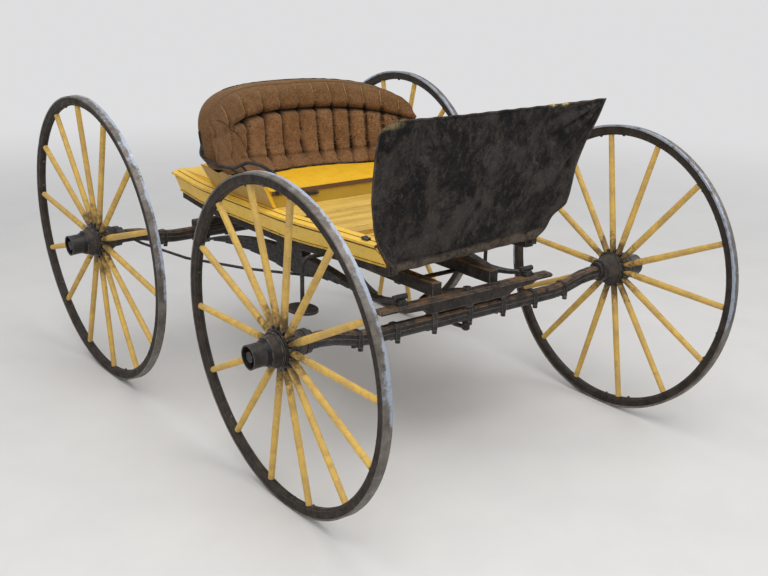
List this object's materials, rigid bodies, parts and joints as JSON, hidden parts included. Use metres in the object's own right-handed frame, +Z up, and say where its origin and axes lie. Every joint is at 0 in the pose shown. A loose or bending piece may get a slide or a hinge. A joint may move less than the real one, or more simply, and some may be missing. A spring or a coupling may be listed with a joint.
{
  "type": "horse drawn carriage",
  "caption": "Light open side-spring road wagon: four wooden spoked wheels, turning front axle, shallow body, tufted seat back, leather dash and steps, standing without shafts.",
  "frame": {"origin": "on the ground below the middle of the bounding box", "axes": "+Z is up, the wagon faces -Y, and its right side is at -X"},
  "size_m": [1.6276, 2.3234, 1.1504],
  "materials": {
    "tyre_steel": "worn steel with scratches",
    "felloe_wood": "dark worn wood",
    "spoke_paint": "worn yellow paint on wood",
    "hub_wood": "black paint over wood, worn to grey",
    "black_iron": "black paint, worn",
    "spring_steel": "black paint worn to grey",
    "gear_wood": "black paint over wood, weathered",
    "body_yellow": "worn yellow paint",
    "seat_olive": "yellow paint, grimed",
    "seat_cloth": "worn brown velour",
    "black_leather": "cracked black leather"
  },
  "bodies": {
    "wagon": {"rear_axle": "black_iron", "rear_axle_bed": "gear_wood", "rear_axle_clips": "black_iron", "fifth_wheel_upper": "black_iron", "front_bolster": "gear_wood", "king_bolt": "black_iron", "rear_bolster": "gear_wood", "perch_right": "gear_wood", "perch_left": "gear_wood", "side_spring_right": "spring_steel", "side_spring_left": "spring_steel", "spring_irons_right": "black_iron", "spring_irons_left": "black_iron", "body_side_right": "body_yellow", "body_side_left": "body_yellow", "body_sill_right": "gear_wood", "body_sill_left": "gear_wood", "body_floor": "body_yellow", "tail_board": "body_yellow", "rear_deck": "body_yellow", "seat_riser": "seat_olive", "seat_board": "body_yellow", "seat_front_panel": "seat_olive", "seat_back_pad": "seat_cloth", "seat_back_board": "black_leather", "stay_rod_right": "black_iron", "stay_rod_left": "black_iron", "arm_rail_right": "black_iron", "arm_rail_left": "black_iron", "dash_leather": "black_leather", "dash_frame": "black_iron", "step_right": "black_iron", "step_left": "black_iron"},
    "front_gear": {"front_axle": "black_iron", "front_axle_bed": "gear_wood", "front_axle_clips": "black_iron", "fifth_wheel_lower": "black_iron"},
    "front_right_wheel": {"front_right_tyre": "tyre_steel", "front_right_rim": "felloe_wood", "front_right_spokes": "spoke_paint", "front_right_hub": "hub_wood", "front_right_hub_irons": "black_iron"},
    "front_left_wheel": {"front_left_tyre": "tyre_steel", "front_left_rim": "felloe_wood", "front_left_spokes": "spoke_paint", "front_left_hub": "hub_wood", "front_left_hub_irons": "black_iron"},
    "rear_right_wheel": {"rear_right_tyre": "tyre_steel", "rear_right_rim": "felloe_wood", "rear_right_spokes": "spoke_paint", "rear_right_hub": "hub_wood", "rear_right_hub_irons": "black_iron"},
    "rear_left_wheel": {"rear_left_tyre": "tyre_steel", "rear_left_rim": "felloe_wood", "rear_left_spokes": "spoke_paint", "rear_left_hub": "hub_wood", "rear_left_hub_irons": "black_iron"}
  },
  "joints": [
    {"name": "steering", "type": "hinge", "parent": "wagon", "child": "front_gear", "pos_m": [0, -0.653, 0.5], "axis": [0, 0, 1], "range_deg": [-25, 25]},
    {"name": "front_right_spin", "type": "hinge", "parent": "front_gear", "child": "front_right_wheel", "pos_m": [-0.706, -0.653, 0.5073], "axis": [-0.9986, 0, -0.0523], "continuous": true},
    {"name": "front_left_spin", "type": "hinge", "parent": "front_gear", "child": "front_left_wheel", "pos_m": [0.706, -0.653, 0.5073], "axis": [0.9986, 0, -0.0523], "continuous": true},
    {"name": "rear_right_spin", "type": "hinge", "parent": "wagon", "child": "rear_right_wheel", "pos_m": [-0.706, 0.627, 0.53327], "axis": [-0.9986, 0, -0.0523], "continuous": true},
    {"name": "rear_left_spin", "type": "hinge", "parent": "wagon", "child": "rear_left_wheel", "pos_m": [0.706, 0.627, 0.53327], "axis": [0.9986, 0, -0.0523], "continuous": true}
  ]
}
